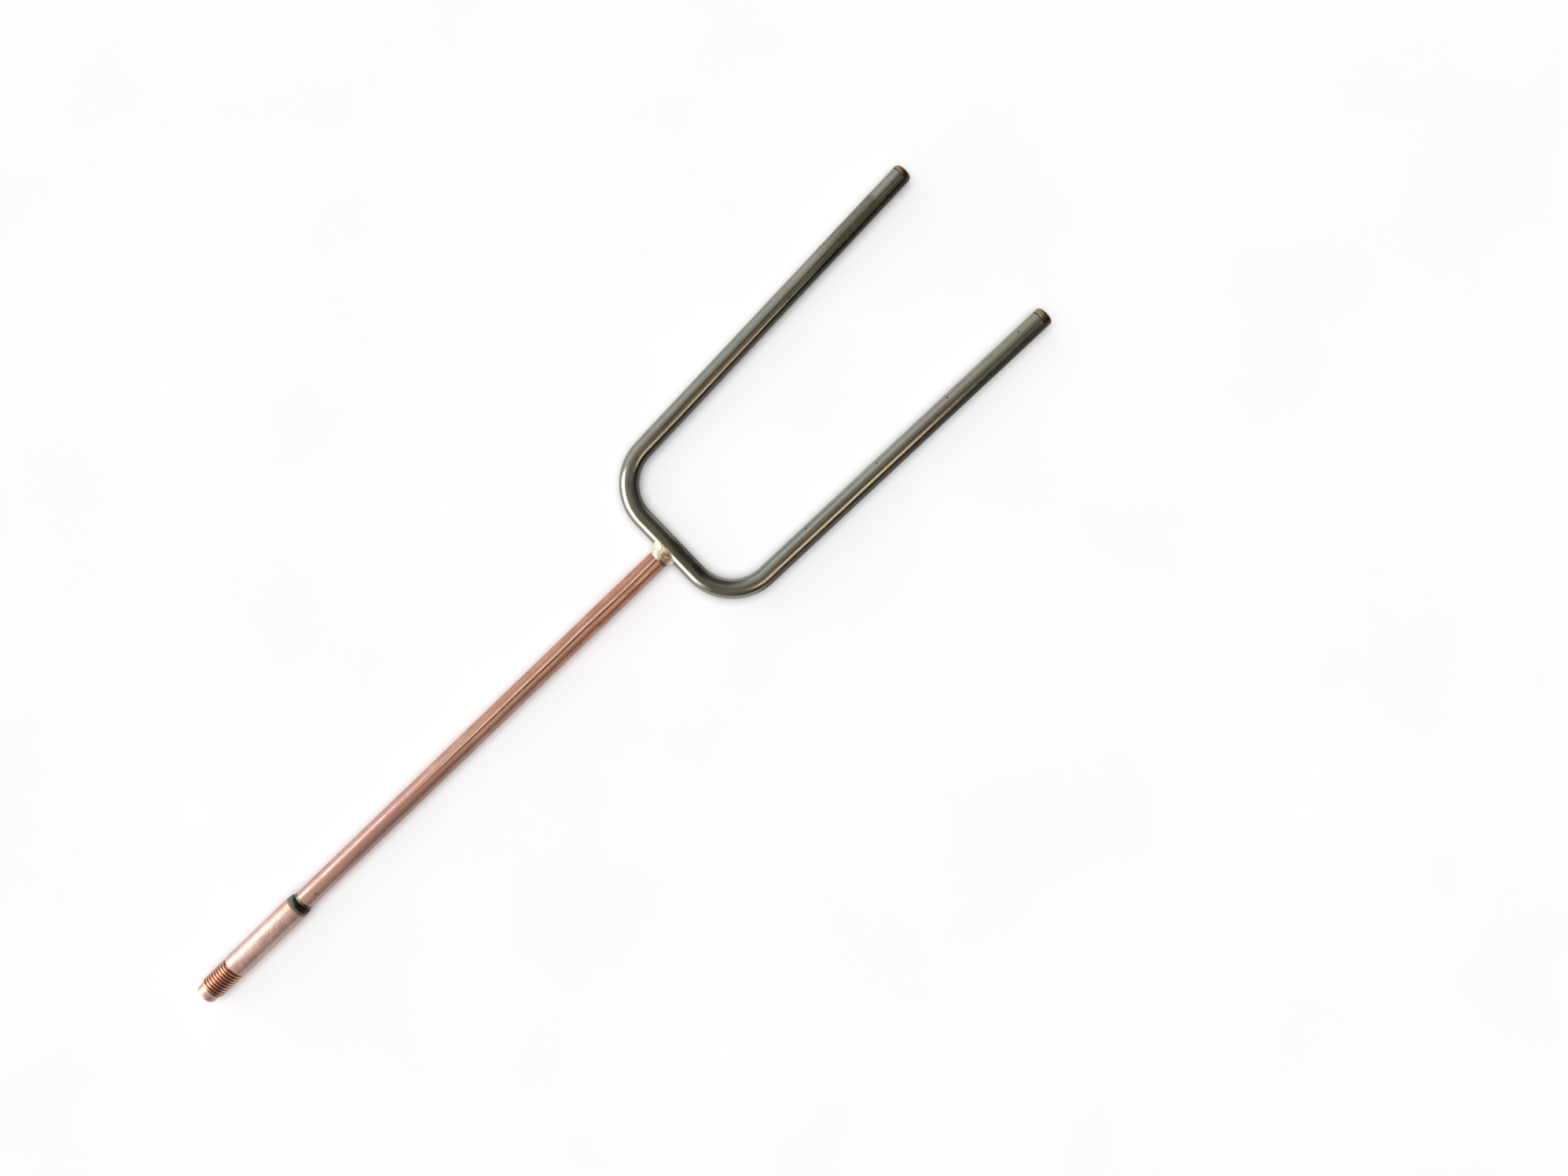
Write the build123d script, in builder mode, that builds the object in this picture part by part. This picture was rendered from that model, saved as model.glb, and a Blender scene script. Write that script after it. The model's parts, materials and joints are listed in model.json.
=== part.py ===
"""Two-tine gas burner fork on a threaded copper nozzle base, in millimetres.

A stainless tube, bent into a fork with a row of flame ports in each tine, is brazed to a copper
stem tube. The stem is brazed into a copper nozzle base whose M8 x 1 thread screws into a torch.

Frame: the origin is on the stem's axis, in the shoulder plane where the thread meets the body.
+Y runs along the stem to the fork, +X to the right tine, and +Z out of the fork's plane.
"""

from build123d import *
import os
from math import cos, pi, radians, sin, tan

# Tubes: the stem and the fork are both quarter-inch tube
TUBE_RADIUS = 3.175
TUBE_WALL = 1.0
BORE_RADIUS = TUBE_RADIUS - TUBE_WALL

# Nozzle base
THREAD_PITCH = 1.0
THREAD_RADIUS = 3.95
THREAD_LENGTH = 10.0
THREAD_LEAD_IN = 0.5  # chamfer at the start of the thread
THREAD_DEPTH = 0.613 * THREAD_PITCH  # of a standard male metric thread
THREAD_CREST = THREAD_PITCH / 8  # width of the flat on each crest
FLANK_ANGLE = 30.0  # degrees, half of the thread's included angle
RIDGE_SINK = 0.09  # how far the thread's ridge is rooted in its core
RIDGE_SPARE = 0.03  # height that is turned off the ridge to make the crests
RIDGE_OVERRUN = 0.3  # how far the ridge starts ahead of the thread zone
RIDGE_STOP = 0.05  # how far the ridge's centre line stops short of the relief groove
RELIEF_WIDTH = 0.75  # groove between the thread and the shoulder
NOSE_RADIUS = 3.3
NOSE_LENGTH = 3.0
NOSE_ROUND = 0.8
BODY_RADIUS = 4.0
BODY_LENGTH = 27.6
BODY_CHAMFER_LENGTH = 0.95
BODY_END_RADIUS = 3.82
GAS_BORE_RADIUS = 1.5
INLET_CHAMFER = 0.6
SOCKET_DEPTH = 10.0
SOCKET_GAP = 0.075  # braze film round the stem, inside the socket

# Punched dots on the upper side of the body
DOT_COUNT = 3
DOT_Y = 19.3
DOT_PITCH = 2.4
DOT_RADIUS = 0.5
DOT_DEPTH = 0.16

# Joint between the base and the stem
FLUX_LENGTH = 1.45
FLUX_TOE = 0.22  # height of the flux's edge on the stem
FLUX_CROWN_RADIUS = 3.68
BRAZE_LENGTH = 2.6
BRAZE_STEP = 0.17  # how far the braze starts inside the rim of the base's end
BRAZE_TOE = 0.04  # height of a braze's thin edge on a tube
BRAZE_SAG = 0.06  # how far the braze's surface dips between its two edges

# Fork
BAR_Y = 188.8  # axis of the fork's cross bar
BEND_RADIUS = 15.5
SIDES = {"left": -1, "right": 1}
HALF_SPAN = {"left": 27.3, "right": 26.8}  # stem axis to the corner of bar axis and tine axis
SPLAY = {"left": 2.9, "right": 0.86}  # degrees that each tine leans outwards
TINE_LENGTH = {"left": 134.2, "right": 134.65}  # from that corner to the end of the plug

# Flame ports, on the upper inner side of each tine
PORT_COUNT = 4
PORT_RADIUS = 0.3
PORT_FIRST = 34.2  # from the corner of bar axis and tine axis
PORT_PITCH = 30.0
PORT_LEAN = 44.5  # degrees from +Z towards the other tine, at the first port
PORT_LEAN_STEP = -3.0  # change from each port to the next

# End plugs
SEAM_DISTANCE = 132.2  # from the corner to the seam between tube and plug
SEAM_CHAMFER = 0.25  # on both edges that meet at the seam
SEAM_SINK = 0.06  # how far the braze lies below the tube's surface
PLUG_ROUND = {"left": 1.4, "right": 0.9}
SPIGOT_LENGTH = 4.0
SPIGOT_GAP = 0.03

# Tee joint: the stem's end is reduced to a neck that enters the cross bar
TEE_LENGTH = 5.6  # stem's shoulder to the bar's axis
NECK_RADIUS = 1.7
NECK_BORE_RADIUS = 1.1
NECK_REACH = 0.4  # how far the neck stands into the bar's bore
NECK_GAP = 0.06  # braze film round the neck, in the bar's wall
STEM_TAPER = 2.5  # length of the cone inside the stem, before the neck
STEM_EDGE = 0.15  # chamfer on the stem's shoulder
TEE_SHIFT = -0.2  # the braze spreads a little further towards the left tine
# Distance of each section from the bar's axis, with its half widths along X and Z
TEE_SECTIONS = [
    (TEE_LENGTH, 3.0, 3.0),
    (5.0, 3.05, 3.0),
    (4.2, 3.45, 3.08),
    (3.6, 4.1, 3.17),
    (3.1, 4.85, 3.22),
    (2.2, 4.9, 3.2),
    (1.1, 4.5, 3.03),
]

CLEAR = 1.0  # how far a cutter runs past the surface that it cuts
CREST_AREA_ERROR = 0.05  # allowed in the test of the finished thread

nose_end = -THREAD_LENGTH - NOSE_LENGTH
root_radius = THREAD_RADIUS - THREAD_DEPTH
ridge_top = THREAD_DEPTH + RIDGE_SPARE
ridge_top_half = THREAD_CREST / 2 - RIDGE_SPARE * tan(radians(FLANK_ANGLE))
ridge_foot_half = THREAD_CREST / 2 + (THREAD_DEPTH + RIDGE_SINK) * tan(radians(FLANK_ANGLE))
socket_bottom = BODY_LENGTH - SOCKET_DEPTH
socket_radius = TUBE_RADIUS + SOCKET_GAP
stem_shoulder = BAR_Y - TEE_LENGTH


def draw_base(thread_zone):
    """The base's profile on one side of its axis, with the given points from nose to shoulder."""
    Polyline((GAS_BORE_RADIUS + INLET_CHAMFER, nose_end), (NOSE_RADIUS - NOSE_ROUND, nose_end))
    RadiusArc(
        (NOSE_RADIUS - NOSE_ROUND, nose_end), (NOSE_RADIUS, nose_end + NOSE_ROUND), -NOSE_ROUND
    )
    Polyline(
        (NOSE_RADIUS, nose_end + NOSE_ROUND),
        (NOSE_RADIUS, -THREAD_LENGTH),
        *thread_zone,
        (BODY_RADIUS, 0),
        (BODY_RADIUS, BODY_LENGTH - BODY_CHAMFER_LENGTH),
        (BODY_END_RADIUS, BODY_LENGTH),
        (socket_radius, BODY_LENGTH),
        (socket_radius, socket_bottom),
        (GAS_BORE_RADIUS, socket_bottom),
        (GAS_BORE_RADIUS, nose_end + INLET_CHAMFER),
        (GAS_BORE_RADIUS + INLET_CHAMFER, nose_end),
    )


def tine_axis(side):
    """The corner that a tine starts from, and the tine's direction."""
    lean = radians(SPLAY[side])
    corner = Vector(SIDES[side] * HALF_SPAN[side], BAR_Y, 0)
    return corner, Vector(SIDES[side] * sin(lean), cos(lean), 0)


def tine_section(side):
    """A plane through a tine's axis: local X is the radius, and local Y the distance along it."""
    corner, along = tine_axis(side)
    return Plane(origin=corner, x_dir=along.cross(Vector(0, 0, 1)), z_dir=(0, 0, 1))


os.makedirs("parts", exist_ok=True)

# One helical ridge for the thread, a little too tall until the base is turned to its outline
ridge_foot = -THREAD_LENGTH - RIDGE_OVERRUN
ridge_head = -RELIEF_WIDTH - RIDGE_STOP
with BuildPart() as thread_ridge:
    with BuildLine() as ridge_path:
        Helix(
            pitch=THREAD_PITCH,
            height=ridge_head - ridge_foot,
            radius=root_radius,
            center=(0, ridge_foot, 0),
            direction=(0, 1, 0),
        )
    ridge_start = ridge_path.line @ 0
    ridge_out = Vector(ridge_start.X, 0, ridge_start.Z).normalized()
    with BuildSketch(Plane(origin=ridge_start, x_dir=ridge_out, z_dir=ridge_path.line % 0)):
        with BuildLine():
            Polyline(
                (-RIDGE_SINK, -ridge_foot_half),
                (ridge_top, -ridge_top_half),
                (ridge_top, ridge_top_half),
                (-RIDGE_SINK, ridge_foot_half),
                close=True,
            )
        make_face()
    sweep(path=ridge_path.line, is_frenet=True)

# Turned copper base: nose, thread, round body, gas bore and a socket for the stem
with BuildPart() as nozzle_base:
    with BuildSketch(Plane.XY):
        with BuildLine():
            draw_base([(root_radius, -THREAD_LENGTH), (root_radius, 0)])
        make_face()
    revolve(axis=Axis.Y)
    add(thread_ridge.part)
    with BuildSketch(Plane.XY):
        with BuildLine():
            draw_base(
                [
                    (THREAD_RADIUS - THREAD_LEAD_IN, -THREAD_LENGTH),
                    (THREAD_RADIUS, THREAD_LEAD_IN - THREAD_LENGTH),
                    (THREAD_RADIUS, -RELIEF_WIDTH),
                    (root_radius, -RELIEF_WIDTH),
                    (root_radius, 0),
                ]
            )
        make_face()
    revolve(axis=Axis.Y, mode=Mode.INTERSECT)
    dot_height = BODY_RADIUS + DOT_RADIUS - DOT_DEPTH
    dot_places = [
        (0, DOT_Y + (index - (DOT_COUNT - 1) / 2) * DOT_PITCH, dot_height) for index in range(DOT_COUNT)
    ]
    with Locations(*dot_places):
        Sphere(DOT_RADIUS, mode=Mode.SUBTRACT)

# A helical sweep can fail without a message, so the area of the thread's crests is tested
crest_faces = [
    face
    for face in nozzle_base.faces().filter_by(GeomType.CYLINDER)
    if abs(face.radius - THREAD_RADIUS) < (BODY_RADIUS - THREAD_RADIUS) / 2
]
plain_area = 2 * pi * THREAD_RADIUS * (THREAD_LENGTH - THREAD_LEAD_IN - RELIEF_WIDTH)
crest_share = sum(face.area for face in crest_faces) / plain_area
print(f"thread crests cover {crest_share:.3f} of a plain cylinder")
if abs(crest_share * THREAD_PITCH / THREAD_CREST - 1) > CREST_AREA_ERROR:
    raise ValueError("the thread is missing or incomplete")
nozzle_base.part.label = "nozzle_base"
export_step(nozzle_base.part, "parts/nozzle_base.step")

# Braze in the socket's gap, ending in a fillet between the base's end and the stem
with BuildPart() as socket_braze:
    rim = (BODY_END_RADIUS - BRAZE_STEP, BODY_LENGTH)
    toe = (TUBE_RADIUS + BRAZE_TOE, BODY_LENGTH + BRAZE_LENGTH)
    middle = ((rim[0] + toe[0]) / 2 - BRAZE_SAG, (rim[1] + toe[1]) / 2)
    with BuildSketch(Plane.XY):
        with BuildLine():
            Polyline(
                toe,
                (TUBE_RADIUS, toe[1]),
                (TUBE_RADIUS, socket_bottom),
                (socket_radius, socket_bottom),
                (socket_radius, BODY_LENGTH),
                rim,
            )
            ThreePointArc(rim, middle, toe)
        make_face()
    revolve(axis=Axis.Y)
socket_braze.part.label = "socket_braze"
export_step(socket_braze.part, "parts/socket_braze.step")

# Glassy flux residue, lying on the half of that fillet next to the base
with BuildPart() as flux_ring:
    flux_inner = (TUBE_RADIUS, BODY_LENGTH)
    flux_rim = (BODY_END_RADIUS, BODY_LENGTH)
    flux_edge = (TUBE_RADIUS + FLUX_TOE, BODY_LENGTH + FLUX_LENGTH)
    flux_crown = (FLUX_CROWN_RADIUS, BODY_LENGTH + FLUX_LENGTH / 2)
    with BuildSketch(Plane.XY):
        with BuildLine():
            Polyline(flux_edge, (TUBE_RADIUS, flux_edge[1]), flux_inner, flux_rim)
            ThreePointArc(flux_rim, flux_crown, flux_edge)
        make_face()
    revolve(axis=Axis.Y)
    add(socket_braze.part, mode=Mode.SUBTRACT)
flux_ring.part.label = "flux_ring"
export_step(flux_ring.part, "parts/flux_ring.step")

# Copper stem tube, reduced at its end to a neck with a smaller bore
with BuildPart() as stem_tube:
    neck_end = BAR_Y - BORE_RADIUS + NECK_REACH
    with BuildSketch(Plane.XY):
        with BuildLine():
            Polyline(
                (BORE_RADIUS, socket_bottom),
                (TUBE_RADIUS, socket_bottom),
                (TUBE_RADIUS, stem_shoulder - STEM_EDGE),
                (TUBE_RADIUS - STEM_EDGE, stem_shoulder),
                (NECK_RADIUS, stem_shoulder),
                (NECK_RADIUS, neck_end),
                (NECK_BORE_RADIUS, neck_end),
                (NECK_BORE_RADIUS, stem_shoulder - TUBE_WALL),
                (BORE_RADIUS, stem_shoulder - TUBE_WALL - STEM_TAPER),
                close=True,
            )
        make_face()
    revolve(axis=Axis.Y)
stem_tube.part.label = "stem_tube"
export_step(stem_tube.part, "parts/stem_tube.step")

# Braze round the neck, flaring out over the cross bar
with BuildPart() as tee_braze:
    for distance, half_x, half_z in TEE_SECTIONS:
        shift = TEE_SHIFT * (half_x - TEE_SECTIONS[0][1])
        with BuildSketch(Plane(origin=(shift, BAR_Y - distance, 0), x_dir=(1, 0, 0), z_dir=(0, 1, 0))):
            Ellipse(half_x, half_z)
    loft()
    with Locations(Location((0, BAR_Y, 0), (0, 90, 0))):
        Cylinder(TUBE_RADIUS, 4 * TUBE_RADIUS, mode=Mode.SUBTRACT)
    with Locations(Location((0, BAR_Y, 0), (90, 0, 0))):
        Cylinder(NECK_RADIUS, 2 * (TEE_LENGTH + CLEAR), mode=Mode.SUBTRACT)
tee_braze.part.label = "tee_braze"
export_step(tee_braze.part, "parts/tee_braze.step")

# Bent stainless tube, with a hole for the neck and a row of ports in each tine
with BuildPart() as fork_tube:
    left_corner, left_along = tine_axis("left")
    right_corner, right_along = tine_axis("right")
    left_end = left_corner + left_along * SEAM_DISTANCE
    right_end = right_corner + right_along * SEAM_DISTANCE
    with BuildLine() as fork_path:
        FilletPolyline(left_end, left_corner, right_corner, right_end, radius=BEND_RADIUS)
    with BuildSketch(Plane(origin=fork_path.line @ 0, z_dir=fork_path.line % 0)):
        Circle(TUBE_RADIUS)
        Circle(BORE_RADIUS, mode=Mode.SUBTRACT)
    sweep(path=fork_path.line)
    end_faces = fork_tube.faces().filter_by(GeomType.PLANE).sort_by(Axis.Y)[-2:]
    outer_edges = [face.outer_wire().edges() for face in end_faces]
    chamfer([edge for edges in outer_edges for edge in edges], length=SEAM_CHAMFER)
    with BuildSketch(Plane(origin=(0, BAR_Y, 0), z_dir=(0, -1, 0))):
        Circle(NECK_RADIUS + NECK_GAP)
    extrude(amount=TUBE_RADIUS + CLEAR, mode=Mode.SUBTRACT)
    for side in SIDES:
        corner, along = tine_axis(side)
        inward = Vector(0, 0, 1).cross(along) * SIDES[side]
        for index in range(PORT_COUNT):
            lean = radians(PORT_LEAN + index * PORT_LEAN_STEP)
            aim = inward * sin(lean) + Vector(0, 0, cos(lean))
            port_centre = corner + along * (PORT_FIRST + index * PORT_PITCH)
            with BuildSketch(Plane(origin=port_centre, z_dir=aim)):
                Circle(PORT_RADIUS)
            extrude(amount=TUBE_RADIUS + CLEAR, mode=Mode.SUBTRACT)
fork_tube.part.label = "fork_tube"
export_step(fork_tube.part, "parts/fork_tube.step")

# Brass plug in the end of each tine, with a rounded head and a spigot in the bore
for side in SIDES:
    corner, along = tine_axis(side)
    head_end = TINE_LENGTH[side]
    head_round = PLUG_ROUND[side]
    spigot_radius = BORE_RADIUS - SPIGOT_GAP
    with BuildPart() as end_plug:
        with BuildSketch(tine_section(side)):
            with BuildLine():
                Polyline(
                    (TUBE_RADIUS - head_round, head_end),
                    (0, head_end),
                    (0, SEAM_DISTANCE - SPIGOT_LENGTH),
                    (spigot_radius, SEAM_DISTANCE - SPIGOT_LENGTH),
                    (spigot_radius, SEAM_DISTANCE),
                    (TUBE_RADIUS - SEAM_CHAMFER, SEAM_DISTANCE),
                    (TUBE_RADIUS, SEAM_DISTANCE + SEAM_CHAMFER),
                    (TUBE_RADIUS, head_end - head_round),
                )
                RadiusArc(
                    (TUBE_RADIUS, head_end - head_round),
                    (TUBE_RADIUS - head_round, head_end),
                    -head_round,
                )
            make_face()
        revolve(axis=Axis(corner, along))
    end_plug.part.label = f"{side}_end_plug"
    export_step(end_plug.part, f"parts/{side}_end_plug.step")

# Braze that fills the seam between tube and plug, a little below their surface
for side in SIDES:
    corner, along = tine_axis(side)
    with BuildPart() as plug_braze:
        with BuildSketch(tine_section(side)):
            with BuildLine():
                seam_half = SEAM_CHAMFER - SEAM_SINK
                Polyline(
                    (TUBE_RADIUS - SEAM_CHAMFER, SEAM_DISTANCE),
                    (TUBE_RADIUS - SEAM_SINK, SEAM_DISTANCE - seam_half),
                    (TUBE_RADIUS - SEAM_SINK, SEAM_DISTANCE + seam_half),
                    close=True,
                )
            make_face()
        revolve(axis=Axis(corner, along))
    plug_braze.part.label = f"{side}_plug_braze"
    export_step(plug_braze.part, f"parts/{side}_plug_braze.step")
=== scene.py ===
"""Looks of the two-tine burner fork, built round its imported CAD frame.

Frame: metres. The stem lies along +Y, the right tine is on +X, and +Z points up to the camera.
Materials read object coordinates in millimetres, so their sizes are real ones.
"""

import json
from math import cos, pi, radians, sin, sqrt, tan

import bpy
from mathutils import Matrix, Vector, noise


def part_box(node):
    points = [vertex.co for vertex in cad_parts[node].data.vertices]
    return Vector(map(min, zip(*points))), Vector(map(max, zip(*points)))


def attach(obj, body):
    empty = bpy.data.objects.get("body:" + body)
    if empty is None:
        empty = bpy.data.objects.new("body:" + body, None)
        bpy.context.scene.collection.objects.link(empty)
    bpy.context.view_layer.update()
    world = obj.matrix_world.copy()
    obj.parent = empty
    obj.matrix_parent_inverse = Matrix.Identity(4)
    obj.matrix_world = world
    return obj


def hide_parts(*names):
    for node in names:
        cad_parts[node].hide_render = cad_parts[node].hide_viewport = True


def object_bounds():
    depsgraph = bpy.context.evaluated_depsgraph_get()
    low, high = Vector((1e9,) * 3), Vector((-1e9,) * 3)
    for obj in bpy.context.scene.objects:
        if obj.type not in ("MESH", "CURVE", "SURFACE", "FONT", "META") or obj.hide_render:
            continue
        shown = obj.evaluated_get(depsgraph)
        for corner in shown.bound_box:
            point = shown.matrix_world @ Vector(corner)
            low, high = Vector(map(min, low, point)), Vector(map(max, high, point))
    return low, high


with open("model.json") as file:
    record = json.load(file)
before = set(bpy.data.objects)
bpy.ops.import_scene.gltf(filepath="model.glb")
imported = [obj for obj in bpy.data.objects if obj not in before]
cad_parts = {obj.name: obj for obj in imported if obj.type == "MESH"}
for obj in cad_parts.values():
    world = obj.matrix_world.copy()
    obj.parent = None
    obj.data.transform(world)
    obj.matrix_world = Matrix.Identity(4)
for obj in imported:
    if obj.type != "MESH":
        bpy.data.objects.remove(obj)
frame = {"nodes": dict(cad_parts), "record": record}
cad_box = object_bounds()
NODES = frame["nodes"]
MM = 0.001

# ---------------------------------------------------------------- places read from the frame
fork_low, fork_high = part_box("fork_tube")
flux_low, flux_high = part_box("flux_ring")
TEE_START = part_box("tee_braze")[0].y  # where the tee's braze begins, at the stem's end
TUBE_RADIUS = fork_high.z
BAR_Y = fork_low.y + TUBE_RADIUS  # axis of the fork's cross bar

# The same in millimetres, for the materials
TUBE_MM = TUBE_RADIUS / MM
BAR_MM = BAR_Y / MM
STEM_END_MM = TEE_START / MM
BASE_END_MM = flux_low.y / MM

# Shape of the fork's centre line, in millimetres: where its tines and bends are
BEND_RADIUS = 15.5
HALF_SPAN = {"left": 27.3, "right": 26.8}
SPLAY = {"left": 2.9, "right": 0.86}

# The thread runs from its foot up to the shoulder, at Y = 0
THREAD_FOOT = -10.0

# Middle of each end plug across the fork
PLUG_X = {}
for side in HALF_SPAN:
    plug_low, plug_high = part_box(side + "_end_plug")
    PLUG_X[side] = (plug_low.x + plug_high.x) / 2 / MM

# How far copper and braze mirror: the rest scatters light, as a thin oxide film does
BASE_METALLIC = 0.65
THREAD_METALLIC = 0.9
STEM_METALLIC = 0.6
BRAZE_METALLIC = 0.6

# Sockets of a Mix node that blends colours
MIX_FACTOR, MIX_A, MIX_B, MIX_RESULT = 0, 6, 7, 2


# ---------------------------------------------------------------- short words for shader nodes
class Shader:
    """A material's node tree, with one Principled shader, and short calls that add to it."""

    def __init__(self, name, metallic):
        self.material = bpy.data.materials.new(name)
        self.material.use_nodes = True
        self.tree = self.material.node_tree
        self.surface = self.tree.nodes["Principled BSDF"]
        self.surface.inputs["Metallic"].default_value = metallic
        coordinates = self.tree.nodes.new("ShaderNodeTexCoord").outputs
        self.place = self.vector("SCALE", coordinates["Object"], scale=1 / MM)
        self.normal = coordinates["Normal"]
        split = self.add("ShaderNodeSeparateXYZ", {0: self.place})
        self.x, self.y, self.z = split.outputs

    def add(self, kind, inputs, **settings):
        """A new node. An input is a number, a colour or another node's output."""
        node = self.tree.nodes.new(kind)
        for setting, value in settings.items():
            setattr(node, setting, value)
        for key, value in inputs.items():
            self.plug(node.inputs[key], value)
        return node

    def math(self, operation, a, b=0.0):
        """One step of arithmetic on numbers."""
        return self.add("ShaderNodeMath", {0: a, 1: b}, operation=operation).outputs[0]

    def vector(self, operation, a, b=(0, 0, 0), scale=1.0):
        """One step of arithmetic on vectors. Lengths, distances and dot products are numbers."""
        inputs = {0: a, 1: b, 3: scale}
        node = self.add("ShaderNodeVectorMath", inputs, operation=operation)
        return node.outputs[1 if operation in ("DISTANCE", "LENGTH", "DOT_PRODUCT") else 0]

    def times(self, first, *others):
        """The product of all the values."""
        for other in others:
            first = self.math("MULTIPLY", first, other)
        return first

    def plus(self, first, *others):
        """The sum of all the values."""
        for other in others:
            first = self.math("ADD", first, other)
        return first

    def join(self, x, y, z):
        """A vector from three numbers."""
        return self.add("ShaderNodeCombineXYZ", {0: x, 1: y, 2: z}).outputs[0]

    def fade(self, value, start, end, low=0.0, high=1.0):
        """A smooth step of value, from low at start to high at end."""
        inputs = {"Value": value, "From Min": start, "From Max": end, "To Min": low, "To Max": high}
        node = self.add("ShaderNodeMapRange", inputs, interpolation_type="SMOOTHSTEP")
        return node.outputs["Result"]

    def band(self, value, middle, half, soft):
        """1 where value is within half of middle, falling to 0 over the distance soft."""
        away = self.math("ABSOLUTE", self.plus(value, -middle))
        return self.fade(away, half, half + soft, 1.0, 0.0)

    def noise(self, place, size, detail=2.0, roughness=0.5, low=0.3, high=0.7):
        """Noise with features of that size, stretched so that low goes to 0 and high to 1."""
        inputs = {"Vector": place, "Scale": 1 / size, "Detail": detail, "Roughness": roughness}
        value = self.add("ShaderNodeTexNoise", inputs).outputs["Fac"]
        return self.fade(value, low, high)

    def blend(self, factor, a, b):
        """Colour a where factor is 0 and b where it is 1."""
        node = self.tree.nodes.new("ShaderNodeMix")
        node.data_type = "RGBA"
        self.plug(node.inputs[MIX_FACTOR], factor)
        self.plug(node.inputs[MIX_A], colour(a))
        self.plug(node.inputs[MIX_B], colour(b))
        return node.outputs[MIX_RESULT]

    def plug(self, socket, value):
        """Links another node's output to the socket, or sets it to a plain value."""
        if isinstance(value, bpy.types.NodeSocket):
            self.tree.links.new(value, socket)
        else:
            socket.default_value = value

    def finish(self, base, roughness, height=None, depth=0.0):
        """Sets the surface's colour and roughness, and a bump that is depth millimetres high."""
        self.plug(self.surface.inputs["Base Color"], colour(base))
        self.plug(self.surface.inputs["Roughness"], roughness)
        if height is not None:
            bump = self.add("ShaderNodeBump", {"Height": height, "Distance": depth * MM})
            self.plug(self.surface.inputs["Normal"], bump.outputs[0])
        return self.material


def colour(value):
    """A colour with its alpha, or the socket as it is."""
    return (*value, 1.0) if isinstance(value, tuple) and len(value) == 3 else value


# ---------------------------------------------------------------- materials
def copper_base():
    """Turned copper: pale rose with fine rings, red-brown in the thread and by the flux, with painted
    shade in the thread's grooves.
    """
    s = Shader("copper_base", BASE_METALLIC)
    rose, pale_rose, bright_rose = (0.70, 0.45, 0.38), (0.86, 0.63, 0.57), (0.92, 0.74, 0.68)
    spotted, dulled, scuffed = (0.56, 0.33, 0.27), (0.46, 0.27, 0.22), (0.52, 0.30, 0.25)
    nose_dark, nose_pale = (0.50, 0.30, 0.25), (0.88, 0.66, 0.60)
    shaded_groove, crest, thread_stain = (0.33, 0.10, 0.055), (0.92, 0.64, 0.50), (0.50, 0.20, 0.12)
    oxide_brown = (0.20, 0.10, 0.07)
    radius = s.vector("LENGTH", s.join(s.x, 0.0, s.z))
    ring_place = s.vector("MULTIPLY", s.place, (0.12, 9.0, 0.12))
    rings = s.noise(ring_place, size=1.0, detail=4.0, roughness=0.6)
    cloud = s.noise(s.place, size=2.6, detail=4.0, roughness=0.6)
    fine = s.noise(s.place, size=0.4, detail=3.0, roughness=0.65)
    body = s.blend(cloud, rose, pale_rose)
    body = s.blend(s.times(fine, 0.6), body, spotted)
    body = s.blend(s.times(s.fade(s.y, 14.0, 25.0), 0.35), body, dulled)
    body = s.blend(s.times(rings, 0.2), body, bright_rose)
    # Short scuffs round the body, next to the shoulder
    scuff_place = s.vector("MULTIPLY", s.place, (0.5, 2.2, 0.5))
    scuffs = s.noise(scuff_place, size=1.0, detail=3.0, roughness=0.6, low=0.48, high=0.60)
    scuffs = s.times(scuffs, s.band(s.y, middle=5.0, half=2.5, soft=3.0))
    body = s.blend(s.times(scuffs, 0.35), body, scuffed)
    nose = s.blend(rings, nose_dark, nose_pale)
    body = s.blend(s.fade(s.y, THREAD_FOOT - 0.3, THREAD_FOOT + 0.1, 0.8, 0.0), body, nose)
    # Thread: red-brown with painted shade in the grooves, peach on the crests
    past_foot = s.fade(s.y, THREAD_FOOT - 0.1, THREAD_FOOT + 0.1)
    in_thread = s.times(past_foot, s.fade(s.y, -0.05, 0.0, 1.0, 0.0))
    thread = s.blend(s.fade(radius, 3.42, 3.9), shaded_groove, crest)
    thread = s.blend(s.times(cloud, 0.3), thread, thread_stain)
    base = s.blend(in_thread, body, thread)
    # Oxide on the chamfer next to the flux
    oxide = s.fade(s.plus(s.y, s.times(cloud, 0.5)), BASE_END_MM - 1.1, BASE_END_MM - 0.2)
    base = s.blend(s.times(oxide, 0.85), base, oxide_brown)
    s.plug(s.surface.inputs["Metallic"], s.fade(in_thread, 0.0, 1.0, BASE_METALLIC, THREAD_METALLIC))
    roughness = s.plus(s.fade(cloud, 0.0, 1.0, 0.28, 0.40), s.times(in_thread, -0.1))
    waves = s.times(cloud, s.fade(s.y, 0.0, 0.5))
    height = s.plus(s.times(rings, 0.2), s.times(fine, 0.15), s.times(waves, 0.8))
    return s.finish(base, roughness, height, depth=0.035)


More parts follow.
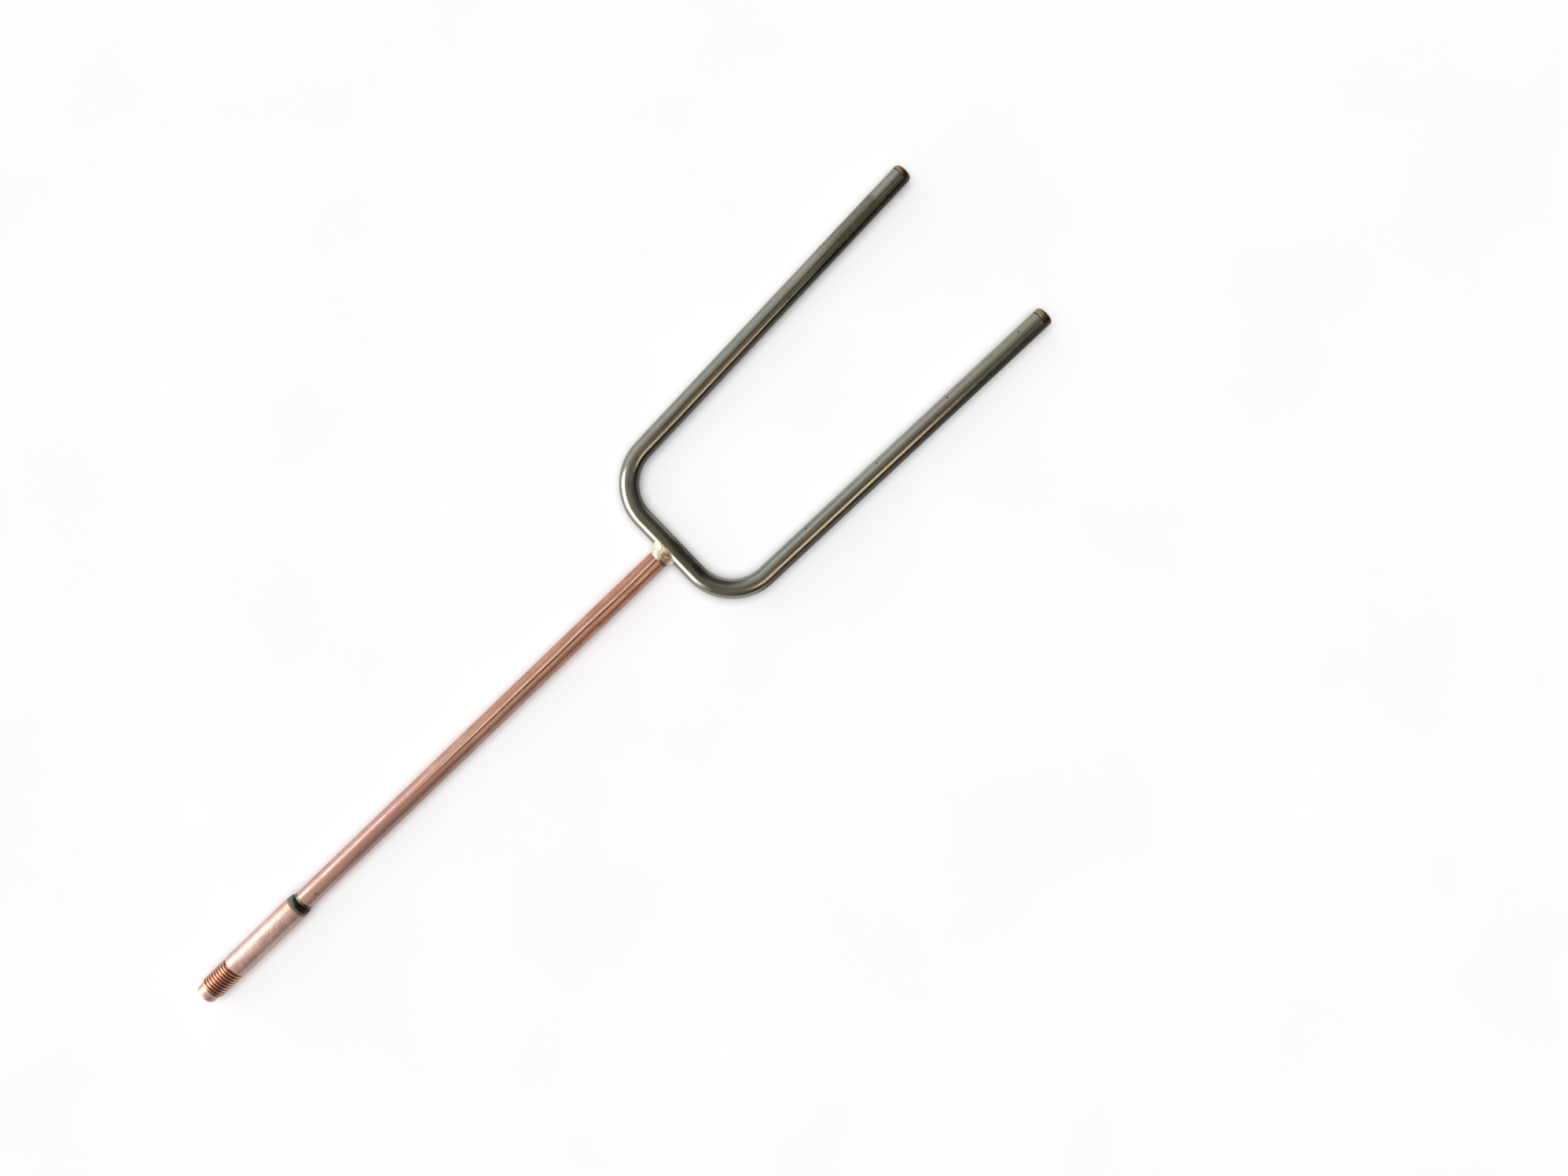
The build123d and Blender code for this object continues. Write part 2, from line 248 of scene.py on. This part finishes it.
def copper_tube():
    """Drawn copper: mottled rose near the base, browner with long lines near the tee. Its pale lines
    are painted highlights, and its +X half has painted shade.
    """
    s = Shader("copper_tube", STEM_METALLIC)
    rose, orange = (0.73, 0.46, 0.395), (0.72, 0.36, 0.245)
    dull_rose, dull_orange = (0.47, 0.265, 0.215), (0.40, 0.17, 0.11)
    speck_brown, spot_brown = (0.20, 0.10, 0.07), (0.16, 0.09, 0.07)
    along = s.fade(s.y, 40.0, 175.0)
    lengthwise = s.vector("MULTIPLY", s.place, (1.0, 0.03, 1.0))
    streaks = s.noise(lengthwise, size=0.9, detail=3.0, roughness=0.6)
    broad = s.noise(lengthwise, size=2.6, detail=1.0, roughness=0.5, low=0.35, high=0.65)
    cloud_place = s.vector("MULTIPLY", s.place, (1.0, 0.4, 1.0))
    cloud = s.noise(cloud_place, size=2.4, detail=5.0, roughness=0.65)
    speck_place = s.vector("MULTIPLY", s.place, (1.0, 0.6, 1.0))
    specks = s.noise(speck_place, size=0.5, detail=3.0, roughness=0.7, low=0.60, high=0.74)
    base = s.blend(along, rose, orange)
    dull = s.blend(along, dull_rose, dull_orange)
    base = s.blend(s.times(cloud, 0.75), base, dull)
    base = s.blend(s.times(streaks, 0.4), base, dull)
    # Painted shade: browner on its +X half, some way out from the base
    shaded_half = s.times(s.band(s.y, middle=74.0, half=14.0, soft=24.0), s.fade(s.x, -1.2, -0.2))
    base = s.blend(s.times(shaded_half, 0.65), base, dull)
    # Long lines that grow towards the tee: a dark one between two pale ones, which are painted
    # highlights, and two faint dark ones
    sway = s.noise(s.join(0.0, s.y, 0.0), size=40.0, detail=1.0, roughness=0.5)
    wander = s.plus(s.x, s.times(sway, 0.3))
    grown = s.fade(s.y, 60.0, 130.0)
    lines_and_highlights = s.times(grown, s.fade(cloud, 0.0, 1.0, 1.0, 0.6))
    for middle, half, tone, strength in (
        (0.25, 0.14, (0.12, 0.045, 0.03), 0.85),
        (-0.3, 0.1, (0.98, 0.72, 0.58), 0.9),
        (1.0, 0.12, (0.95, 0.62, 0.44), 0.6),
        (-1.2, 0.15, (0.24, 0.11, 0.07), 0.5),
        (2.0, 0.15, (0.30, 0.14, 0.09), 0.4),
    ):
        line = s.times(s.band(wander, middle, half, soft=0.22), lines_and_highlights, strength)
        base = s.blend(line, base, tone)
    base = s.blend(s.times(specks, 0.6), base, speck_brown)
    # One dark spot on top, near the base
    spot_place = (1.3, 34.9, 2.9)
    spot = s.fade(s.vector("DISTANCE", s.place, spot_place), 0.25, 0.75, 1.0, 0.0)
    base = s.blend(s.times(spot, 0.6), base, spot_brown)
    roughness = s.plus(s.fade(cloud, 0.0, 1.0, 0.17, 0.30), s.times(streaks, 0.05))
    ridge = s.times(s.band(wander, middle=0.0, half=0.02, soft=0.4), grown, 2.0)
    waves = s.times(broad, s.fade(s.y, 30.0, 130.0, 0.3, 1.0))
    height = s.plus(waves, s.times(cloud, 0.3), ridge)
    return s.finish(base, roughness, height, depth=0.05)


def fork_coordinates(s):
    """How far out a place lies from the fork's centre line, and how far past the bends it is."""
    right = s.math("GREATER_THAN", s.x, 0.0)
    slope = {side: tan(radians(SPLAY[side])) for side in SPLAY}
    lean = s.fade(right, 0.0, 1.0, slope["left"], slope["right"])
    inner = {side: HALF_SPAN[side] - BEND_RADIUS for side in HALF_SPAN}
    inner_x = s.fade(right, 0.0, 1.0, inner["left"], inner["right"])
    up = s.plus(s.y, -(BAR_MM + BEND_RADIUS))
    drift = s.times(s.math("MAXIMUM", up, 0.0), lean)
    side = s.math("SUBTRACT", s.math("SUBTRACT", s.math("ABSOLUTE", s.x), drift), inner_x)
    side = s.math("MAXIMUM", side, 0.0)
    down = s.math("MAXIMUM", s.times(up, -1.0), 0.0)
    return s.plus(s.vector("LENGTH", s.join(side, down, 0.0)), -BEND_RADIUS), up


def stainless_tube():
    """Bent stainless tube: soft lines along it, stains, and painted shade on its flanks that face +X
    and +Y.
    """
    s = Shader("stainless_tube", metallic=1.0)
    steel, pale_steel, streak_grey = (0.44, 0.44, 0.40), (0.51, 0.51, 0.46), (0.28, 0.27, 0.23)
    line_grey, stain_brown, rubbed_grey = (0.15, 0.14, 0.11), (0.22, 0.20, 0.155), (0.17, 0.16, 0.13)
    heated, scorched_and_shaded = (0.27, 0.24, 0.19), (0.10, 0.09, 0.075)
    flank_shade_grey, flank_shade_black = (0.075, 0.07, 0.06), (0.035, 0.032, 0.027)
    out, up = fork_coordinates(s)
    streak_place = s.join(out, s.times(s.plus(s.x, s.y), 0.012), s.z)
    streaks = s.noise(streak_place, size=0.8, detail=3.0, roughness=0.6)
    broad = s.noise(streak_place, size=2.2, detail=1.0, roughness=0.5, low=0.35, high=0.65)
    cloud = s.noise(s.place, size=6.0, detail=4.0, roughness=0.6)
    fine = s.noise(s.place, size=0.6, detail=3.0, roughness=0.6)
    base = s.blend(cloud, steel, pale_steel)
    base = s.blend(s.times(streaks, 0.5), base, streak_grey)
    # Two dark lines along each tine, half a millimetre to either side of its middle
    for middle, strength in ((0.5, 0.45), (-0.5, 0.3)):
        line = s.band(out, middle, half=0.1, soft=0.3)
        line = s.times(line, s.fade(up, 0.0, 12.0), strength)
        base = s.blend(line, base, line_grey)
    # Brown stain on the outer half of the left tine, in short streaks, sharp at its far end
    far_end = BAR_MM + 121.0
    edge = s.plus(s.y, s.times(fine, 1.2))
    near_fade = s.fade(edge, far_end - 26.0, far_end - 14.0)
    stain = s.times(near_fade, s.fade(edge, far_end, far_end + 1.0, 1.0, 0.0))
    stain = s.times(stain, s.math("LESS_THAN", s.x, 0.0), s.fade(out, -1.6, 0.2))
    trail_place = s.join(out, s.times(s.y, 0.25), s.z)
    trail = s.noise(trail_place, size=0.6, detail=4.0, roughness=0.7, low=0.25, high=0.75)
    base = s.blend(s.times(stain, s.fade(trail, 0.0, 1.0, 0.35, 0.95)), base, stain_brown)
    # Rubbed marks near the end of the right tine
    rubbed_place = (25.4, BAR_MM + 101.0, 1.6)
    rubbed = s.fade(s.vector("DISTANCE", s.place, rubbed_place), 1.0, 5.0, 1.0, 0.0)
    mark_place = s.join(s.times(s.x, 0.5), s.y, s.z)
    marks = s.noise(mark_place, size=0.4, detail=3.0, roughness=0.7, low=0.5, high=0.62)
    base = s.blend(s.times(rubbed, marks, 0.4), base, rubbed_grey)
    # Grey-brown tint where the tee was heated, and beyond it a scorched patch on the bar's +Y side,
    # partly painted shade
    from_tee = s.vector("DISTANCE", s.place, (0.0, BAR_MM, 0.0))
    heat = s.times(s.fade(from_tee, 6.0, 26.0, 1.0, 0.0), s.fade(cloud, 0.0, 1.0, 0.5, 1.0))
    base = s.blend(s.times(heat, 0.4), base, heated)
    beside_tee = s.band(s.x, middle=7.0, half=4.0, soft=9.0)
    on_bar_only = s.fade(s.y, 193.0, 196.0, 1.0, 0.0)
    scorch_and_shade = s.times(beside_tee, s.fade(out, 0.6, -0.9), on_bar_only)
    shade_place = s.join(s.times(s.x, 0.25), out, s.z)
    shade = s.noise(shade_place, size=1.6, detail=3.0, roughness=0.6, low=0.3, high=0.65)
    base = s.blend(s.times(scorch_and_shade, s.fade(shade, 0.0, 1.0, 0.35, 0.9)), base, scorched_and_shaded)
    # Painted shade on the flanks that face +X and +Y, away from the light, deeper towards the tips
    facing = s.vector("DOT_PRODUCT", s.normal, (0.8, 0.6, 0.0))
    flank_shade = s.times(s.fade(facing, 0.42, 0.62), s.fade(up, 30.0, 100.0, 0.85, 0.97))
    flank_shade_tone = s.blend(s.fade(up, 30.0, 100.0), flank_shade_grey, flank_shade_black)
    base = s.blend(flank_shade, base, flank_shade_tone)
    roughness = s.plus(s.fade(cloud, 0.0, 1.0, 0.18, 0.26), s.times(stain, 0.08))
    height = s.plus(broad, s.times(streaks, 0.25), s.times(fine, 0.08))
    return s.finish(base, roughness, height, depth=0.03)


def brass_plug():
    """Smooth olive brass, with painted shade on its +X side."""
    s = Shader("brass_plug", metallic=1.0)
    olive, pale_olive = (0.44, 0.35, 0.18), (0.62, 0.51, 0.29)
    speck_brown, painted_side_shade = (0.24, 0.16, 0.07), (0.10, 0.065, 0.03)
    cloud = s.noise(s.place, size=1.6, detail=3.0, roughness=0.6)
    fine = s.noise(s.place, size=0.3, detail=3.0, roughness=0.6)
    base = s.blend(cloud, olive, pale_olive)
    base = s.blend(s.times(fine, 0.3), base, speck_brown)
    # Painted shade: browner on the side of the tine that faces +X
    on_right = s.math("GREATER_THAN", s.x, 0.0)
    middle = s.fade(on_right, 0.0, 1.0, PLUG_X["left"], PLUG_X["right"])
    side = s.math("SUBTRACT", s.x, middle)
    base = s.blend(s.fade(side, -1.2, 1.2, 0.0, 0.9), base, painted_side_shade)
    return s.finish(base, s.fade(cloud, 0.0, 1.0, 0.24, 0.36), fine, depth=0.01)


def gold_braze():
    """Olive-gold braze round the stem, and darker olive braze in the seams of the tines."""
    s = Shader("gold_braze", metallic=1.0)
    olive, gold, painted_side_shade = (0.20, 0.16, 0.10), (0.56, 0.50, 0.34), (0.09, 0.065, 0.04)
    flux_black = (0.012, 0.018, 0.013)
    seam_dark, seam_olive = (0.045, 0.033, 0.018), (0.12, 0.095, 0.05)
    cloud = s.noise(s.place, size=0.9, detail=4.0, roughness=0.6)
    fine = s.noise(s.place, size=0.22, detail=3.0, roughness=0.6)
    base = s.blend(cloud, olive, gold)
    # Painted shade: darker towards the +X side
    base = s.blend(s.fade(s.x, -0.5, 2.2, 0.0, 0.75), base, painted_side_shade)
    # Flux has run over its foot
    flux_edge = s.plus(s.y, s.times(fine, 0.2))
    foot = s.fade(flux_edge, BASE_END_MM + 1.75, BASE_END_MM + 1.95, 1.0, 0.0)
    base = s.blend(foot, base, flux_black)
    # The seams in the tines are the only braze past the bar
    past_bar = 200.0
    in_tine = s.math("GREATER_THAN", s.y, past_bar)
    base = s.blend(in_tine, base, s.blend(cloud, seam_dark, seam_olive))
    return s.finish(base, s.fade(fine, 0.0, 1.0, 0.28, 0.45), fine, depth=0.02)


def silver_braze():
    """Shiny cream braze, with a gold-brown patch and dark pits on its +X half."""
    s = Shader("silver_braze", BRAZE_METALLIC)
    cream, pale_cream, thin_edge = (0.82, 0.77, 0.54), (0.97, 0.96, 0.82), (0.50, 0.48, 0.38)
    gold_brown, pit_and_shadow_brown = (0.36, 0.24, 0.10), (0.05, 0.035, 0.02)
    cloud = s.noise(s.place, size=1.5, detail=2.0, roughness=0.5)
    fine = s.noise(s.place, size=0.4, detail=2.0, roughness=0.5)
    base = s.blend(cloud, cream, pale_cream)
    # Thin edge on the bar: the steel shows through
    from_bar = s.vector("LENGTH", s.join(0.0, s.plus(s.y, -BAR_MM), s.z))
    thin = s.fade(from_bar, TUBE_MM + 0.04, TUBE_MM + 0.32, 0.65, 0.0)
    base = s.blend(thin, base, thin_edge)
    # Gold-brown patch with pits in it
    flat = s.join(s.x, s.y, 0.0)
    patch = s.fade(s.vector("DISTANCE", flat, (1.3, BAR_MM - 3.2, 0.0)), 1.0, 2.5, 1.0, 0.0)
    mottle = s.noise(s.place, size=0.9, detail=2.0, roughness=0.5, low=0.35, high=0.55)
    base = s.blend(s.times(patch, s.fade(mottle, 0.0, 1.0, 0.35, 0.95)), base, gold_brown)
    pit_place = s.vector("ADD", s.place, (4.0, 1.0, 2.0))
    pit = s.noise(pit_place, size=0.8, detail=1.0, roughness=0.5, low=0.54, high=0.62)
    base = s.blend(s.times(patch, pit, 0.9), base, pit_and_shadow_brown)
    # Painted shadow: dark where it meets the stem, on the +X side
    by_stem = s.fade(s.y, STEM_END_MM + 0.5, STEM_END_MM + 1.6, 1.0, 0.0)
    shadow = s.times(s.fade(s.x, 0.0, 1.2), by_stem)
    base = s.blend(s.times(shadow, 0.92), base, pit_and_shadow_brown)
    ripples = s.noise(s.place, size=0.9, detail=1.0, roughness=0.5)
    height = s.plus(ripples, s.times(fine, 0.1))
    return s.finish(base, s.fade(fine, 0.0, 1.0, 0.19, 0.30), height, depth=0.09)


def flux_glass():
    """Glassy flux residue: black-green, with emerald painted light on its -X side and pale painted
    highlights.
    """
    s = Shader("flux_glass", metallic=0.0)
    black_green, emerald, emerald_highlight = (0.003, 0.007, 0.005), (0.03, 0.16, 0.105), (0.13, 0.28, 0.20)
    cloud = s.noise(s.place, size=1.3, detail=3.0, roughness=0.6)
    fine = s.noise(s.place, size=0.3, detail=3.0, roughness=0.6)
    # Painted light: emerald on the lit -X side, black-green in shade, with pale painted highlights
    lit = s.fade(s.x, -3.2, 0.2, 1.0, 0.0)
    base = s.blend(s.times(s.fade(cloud, 0.0, 1.0, 0.25, 1.0), lit), black_green, emerald)
    base = s.blend(s.times(fine, 0.35, lit), base, emerald_highlight)
    s.surface.inputs["Specular IOR Level"].default_value = 0.3
    s.surface.inputs["Coat Weight"].default_value = 0.1
    s.surface.inputs["Coat Roughness"].default_value = 0.1
    return s.finish(base, s.fade(cloud, 0.0, 1.0, 0.14, 0.28), fine, depth=0.03)


def give(obj, material):
    """Puts the one material on the object."""
    obj.data.materials.clear()
    obj.data.materials.append(material)


# ---------------------------------------------------------------- mesh pieces
def ring_mesh(name, rings):
    """A closed mesh from rings with as many points each. The last ring joins the first."""
    count = len(rings[0])
    points = [tuple(point) for ring in rings for point in ring]
    faces = []
    for row in range(len(rings)):
        below, above = row * count, (row + 1) % len(rings) * count
        for column in range(count):
            after = (column + 1) % count
            faces.append((below + column, below + after, above + after, above + column))
    mesh = bpy.data.meshes.new(name)
    mesh.from_pydata(points, [], faces)
    mesh.validate()
    mesh.polygons.foreach_set("use_smooth", [True] * len(mesh.polygons))
    obj = bpy.data.objects.new(name, mesh)
    bpy.context.collection.objects.link(obj)
    return obj


def lumps(place, size, seed):
    """Smooth noise between about -1 and 1, with lumps of that size. Another seed, other lumps."""
    return noise.noise(place / size + Vector((seed, seed * 2, seed * 3)))


TEE_COLUMNS = 144
TEE_ROWS = 40
TEE_RING = 3.16 * MM  # radius of the braze at the stem's end
TEE_HALF = 4.9 * MM  # half width of the braze along the bar
TEE_SHIFT = -0.2 * MM  # it sits a little to the -X side
TEE_WRAP = 72.0  # degrees that the braze reaches round the bar, to either side of -Y
TEE_WOBBLE = 0.06  # share of its reach by which its outline wanders
TEE_FILM = 0.03 * MM  # thickness at the braze's thin edge
TEE_LUMPS = ((0.20, 1.5 * MM, 5.0), (0.03, 0.6 * MM, 8.0))  # height in mm, size and seed
NECK_RADIUS = 1.7 * MM

# Each line of the braze bends towards a corner near the bar
CORNER_WIDTH = 1.02  # in radii of the braze at the stem's end
CORNER_WRAP = 0.8  # share of the line's own reach round the bar
CORNER_RISE = 0.5 * MM  # above the bar's surface
CORNER_BACK = 2.4 * MM  # at least this far from the bar's axis, along the stem


def on_bar(x, wrap, radius):
    """A point at x on a cylinder round the bar's axis. wrap is measured from -Y towards +Z."""
    return Vector((x, BAR_Y - radius * cos(wrap), radius * sin(wrap)))


def tee_braze_piece():
    """Lumpy braze between the stem's end and the cross bar: a closed skin of rings."""
    turn = [2 * pi * column / TEE_COLUMNS for column in range(TEE_COLUMNS)]
    edges = []
    for angle in turn:
        wobble = 1 + TEE_WOBBLE * lumps(Vector((cos(angle), sin(angle), 0)), size=0.4, seed=11.0)
        x = TEE_HALF * cos(angle) * wobble + TEE_SHIFT
        wrap = radians(TEE_WRAP) * sin(angle) * wobble
        edges.append((x, wrap))
    rings = []
    for row in range(TEE_ROWS + 1):
        t = row / TEE_ROWS
        swell = sin(pi * t) ** 0.7  # the lumps fade out at both ends
        ring = []
        for angle, (x, wrap) in zip(turn, edges):
            start = Vector((TEE_RING * cos(angle), TEE_START, TEE_RING * sin(angle)))
            end = on_bar(x, wrap, TUBE_RADIUS + TEE_FILM)
            corner_x = TEE_RING * cos(angle) * CORNER_WIDTH
            corner = on_bar(corner_x, wrap * CORNER_WRAP, TUBE_RADIUS + CORNER_RISE)
            corner.y = min(corner.y, BAR_Y - CORNER_BACK)
            point = start * (1 - t) ** 2 + corner * 2 * t * (1 - t) + end * t**2
            height = sum(high * lumps(point, size, seed) for high, size, seed in TEE_LUMPS)
            away = Vector((point.x, 0.0, point.z)).normalized()
            ring.append(point + away * height * swell * MM)
        rings.append(ring)
    # Back along the bar's surface to the hole for the neck, and through it to the stem's end
    for share in (1.0, 0.7):
        rings.append([on_bar(x * share, wrap * share, TUBE_RADIUS) for x, wrap in edges])
    hole = [(NECK_RADIUS * cos(angle), NECK_RADIUS * sin(angle)) for angle in turn]
    rings.append([Vector((x, BAR_Y - sqrt(TUBE_RADIUS**2 - z**2), z)) for x, z in hole])
    rings.append([Vector((x, TEE_START, z)) for x, z in hole])
    return ring_mesh("tee_braze_skin", rings)


FLUX_COLUMNS = 160
FLUX_STEPS = 14
FLUX_GAP = 0.02 * MM  # between the flux and the stem
FLUX_EDGE = 0.12 * MM  # thickness at its far edge
FLUX_BULGE = 0.30 * MM
FLUX_UNEVEN = 0.14  # share of its length by which the far edge wanders to either side


def flux_ring_piece():
    """Glassy ring with an uneven outline, lying between the base's end and the stem."""
    turn = [2 * pi * column / FLUX_COLUMNS for column in range(FLUX_COLUMNS)]
    full_length = flux_high.y - flux_low.y
    rim = flux_high.z
    inner = TUBE_RADIUS + FLUX_GAP
    rings = []
    for step in range(FLUX_STEPS + 1):
        t = step / FLUX_STEPS
        ring = []
        for angle in turn:
            spot = Vector((cos(angle), sin(angle), 0.0))
            uneven = lumps(spot, size=0.5, seed=3.0)
            length = full_length * (1 - FLUX_UNEVEN + FLUX_UNEVEN * uneven)
            swollen = lumps(spot + Vector((0, 0, t)), size=0.35, seed=4.0)
            bulge = FLUX_BULGE * (1 + 0.5 * swollen)
            line = rim * (1 - t) + (inner + FLUX_EDGE) * t
            radius = min(line + bulge * sin(pi * t) ** 0.8, rim)
            y = flux_low.y + length * t
            ring.append(Vector((radius * cos(angle), y, radius * sin(angle))))
        rings.append(ring)
    # Next to the stem: from the uneven far edge back to the base's end
    far_edge = [point.y for point in rings[-1]]
    near_edge = [flux_low.y] * FLUX_COLUMNS
    for edge in (far_edge, near_edge):
        ring = [Vector((inner * cos(angle), y, inner * sin(angle))) for angle, y in zip(turn, edge)]
        rings.append(ring)
    return ring_mesh("flux_ring_glass", rings)


# ---------------------------------------------------------------- dress the CAD nodes
FINISH = {
    "copper_base": copper_base(),
    "copper_tube": copper_tube(),
    "stainless_tube": stainless_tube(),
    "brass_plug": brass_plug(),
    "gold_braze": gold_braze(),
    "silver_braze": silver_braze(),
    "flux_glass": flux_glass(),
}
for subpart in frame["record"]["subparts"]:
    give(NODES[subpart["node"]], FINISH[subpart["material_slot"]])

for piece, node, slot in (
    (tee_braze_piece(), "tee_braze", "silver_braze"),
    (flux_ring_piece(), "flux_ring", "flux_glass"),
):
    give(piece, FINISH[slot])
    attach(piece, "root")
    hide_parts(node)


# ---------------------------------------------------------------- floor, light and camera
FLOOR_HALF = 9.0  # metres, so that its far edge is hardly seen in low views
FLOOR_TONES = ((0.92, 0.92, 0.92), (0.94, 0.94, 0.94))
FLOOR_IN_MIRRORS = (0.60, 0.60, 0.575)
OVERHEAD_SPREAD = radians(60)  # angle that an overhead light fills, seen from the object


def floor():
    """A plain pale floor under the object. In metal it is mirrored darker."""
    half = FLOOR_HALF
    z = cad_box[0].z
    mesh = bpy.data.meshes.new("floor")
    corners = [(-half, -half, z), (half, -half, z), (half, half, z), (-half, half, z)]
    mesh.from_pydata(corners, [], [(0, 1, 2, 3)])
    obj = bpy.data.objects.new("floor", mesh)
    bpy.context.collection.objects.link(obj)
    s = Shader("pale_floor", metallic=0.0)
    pale = s.blend(s.noise(s.place, size=60.0, detail=2.0, roughness=0.5), *FLOOR_TONES)
    mirrored = s.add("ShaderNodeLightPath", {}).outputs["Is Glossy Ray"]
    give(obj, s.finish(s.blend(mirrored, pale, FLOOR_IN_MIRRORS), 0.9))
    return obj


def area_light(name, place, target, size, radiance, tint=(1, 1, 1), lights=True):
    """A softbox of that radiance, seen in metal. It lights matt surfaces unless lights is False."""
    light = bpy.data.lights.new(name, "AREA")
    light.shape = "RECTANGLE"
    light.size, light.size_y = size
    light.energy = radiance * pi * size[0] * size[1]
    light.color = tint
    obj = bpy.data.objects.new(name, light)
    obj.location = place
    obj.rotation_euler = (Vector(target) - Vector(place)).to_track_quat("-Z", "Y").to_euler()
    obj.visible_diffuse = lights
    obj.visible_camera = False
    bpy.context.collection.objects.link(obj)
    return obj


def overhead_light(name, energy, tint=(1, 1, 1)):
    """Even light from straight above on the matt surfaces. Metal doesn't mirror it."""
    light = bpy.data.lights.new(name, "SUN")
    light.energy = energy
    light.angle = OVERHEAD_SPREAD
    light.color = tint
    obj = bpy.data.objects.new(name, light)
    obj.visible_glossy = False
    obj.visible_camera = False
    bpy.context.collection.objects.link(obj)
    return obj


def pair(light, obj, state):
    """With EXCLUDE the light passes that object by. With INCLUDE it lights nothing else."""
    receivers = bpy.data.collections.new("receivers_of_" + light.name)
    receivers.objects.link(obj)
    receivers.collection_objects[0].light_linking.link_state = state
    light.light_linking.receiver_collection = receivers


# The room's brightness across it, from straight -X at 0 to straight +X at 1
ROOM_TONES = (
    (0.0, (0.68, 0.68, 0.66)),
    (0.04, (0.76, 0.76, 0.73)),
    (0.126, (0.62, 0.62, 0.58)),
    (0.23, (0.57, 0.56, 0.51)),
    (0.36, (0.33, 0.32, 0.27)),
    (0.50, (0.21, 0.20, 0.155)),
    (0.66, (0.25, 0.22, 0.17)),
    (0.80, (0.18, 0.145, 0.105)),
    (0.93, (0.05, 0.045, 0.035)),
)
FAR_SIDE_TONE = (0.11, 0.105, 0.095)  # towards +Y
FAR_SIDE_FADE = (0.22, 0.6)  # how far a direction leans to +Y where that tone begins and is full
BACKDROP_TONE = (0.93, 0.93, 0.93)  # what the camera sees past the floor


def studio_world():
    """Soft room light: bright on the -X side, warm and dim overhead, dark on the +X and +Y sides."""
    world = bpy.data.worlds.new("studio")
    world.use_nodes = True
    nodes, links = world.node_tree.nodes, world.node_tree.links

    def mix(factor, a, tone):
        """Output a where factor is 0 and the plain tone where it is 1."""
        node = nodes.new("ShaderNodeMix")
        node.data_type = "RGBA"
        links.new(factor, node.inputs[MIX_FACTOR])
        links.new(a, node.inputs[MIX_A])
        node.inputs[MIX_B].default_value = colour(tone)
        return node.outputs[MIX_RESULT]

    split = nodes.new("ShaderNodeSeparateXYZ")
    links.new(nodes.new("ShaderNodeTexCoord").outputs["Generated"], split.inputs[0])
    across = nodes.new("ShaderNodeMapRange")
    across.inputs["From Min"].default_value = -1.0
    links.new(split.outputs["X"], across.inputs["Value"])
    ramp = nodes.new("ShaderNodeValToRGB")
    links.new(across.outputs["Result"], ramp.inputs["Fac"])
    ramp.color_ramp.interpolation = "EASE"
    while len(ramp.color_ramp.elements) < len(ROOM_TONES):
        ramp.color_ramp.elements.new(0.5)
    for element, (position, tone) in zip(ramp.color_ramp.elements, ROOM_TONES):
        element.position = position
        element.color = colour(tone)
    far = nodes.new("ShaderNodeMapRange")
    far.interpolation_type = "SMOOTHSTEP"
    far.inputs["From Min"].default_value, far.inputs["From Max"].default_value = FAR_SIDE_FADE
    links.new(split.outputs["Y"], far.inputs["Value"])
    room = mix(far.outputs["Result"], ramp.outputs["Color"], FAR_SIDE_TONE)
    seen_by_camera = nodes.new("ShaderNodeLightPath").outputs["Is Camera Ray"]
    links.new(mix(seen_by_camera, room, BACKDROP_TONE), nodes["Background"].inputs["Color"])
    bpy.context.scene.world = world


CAMERA_PLACE = (0.0337, 0.2054, 0.437)
IMAGE_RIGHT = (0.6934, 0.72055, 0.0)  # this direction runs to the right in the image
SENSOR_WIDTH, FOCAL_LENGTH = 36.0, 32.12  # millimetres
CLIP_START, CLIP_END = 0.01, 40.0


def camera():
    """Looks straight down, with the stem running from the lower left to the upper right."""
    data = bpy.data.cameras.new("camera")
    data.sensor_width = SENSOR_WIDTH
    data.lens = FOCAL_LENGTH
    data.clip_start, data.clip_end = CLIP_START, CLIP_END
    obj = bpy.data.objects.new("camera", data)
    right = Vector(IMAGE_RIGHT).normalized()
    up = Vector((0.0, 0.0, 1.0)).cross(right)
    back = right.cross(up)
    turn = Matrix((right, up, back)).transposed().to_4x4()
    obj.matrix_world = Matrix.Translation(CAMERA_PLACE) @ turn
    bpy.context.collection.objects.link(obj)
    bpy.context.scene.camera = obj


ground = floor()
window = area_light(
    "window", place=(-0.376, -0.602, 0.366), target=(0.0, 0.15, 0.0), size=(1.17, 0.69), radiance=3.2
)
pair(window, ground, "EXCLUDE")  # or the floor has a bright patch that ends at the window's plane
area_light(
    "card",
    place=(0.183, 0.225, 0.2),
    target=(0, 0.225, 0),
    size=(0.17, 0.085),
    radiance=1.65,
    tint=(1, 0.77, 0.52),
    lights=False,
)
overhead_light("fill", energy=1.95)
floor_fill = overhead_light("floor_fill", energy=0.70, tint=(0.80, 0.84, 1.0))
pair(floor_fill, ground, "INCLUDE")
studio_world()
camera()
bpy.context.scene.view_settings.view_transform = "Standard"
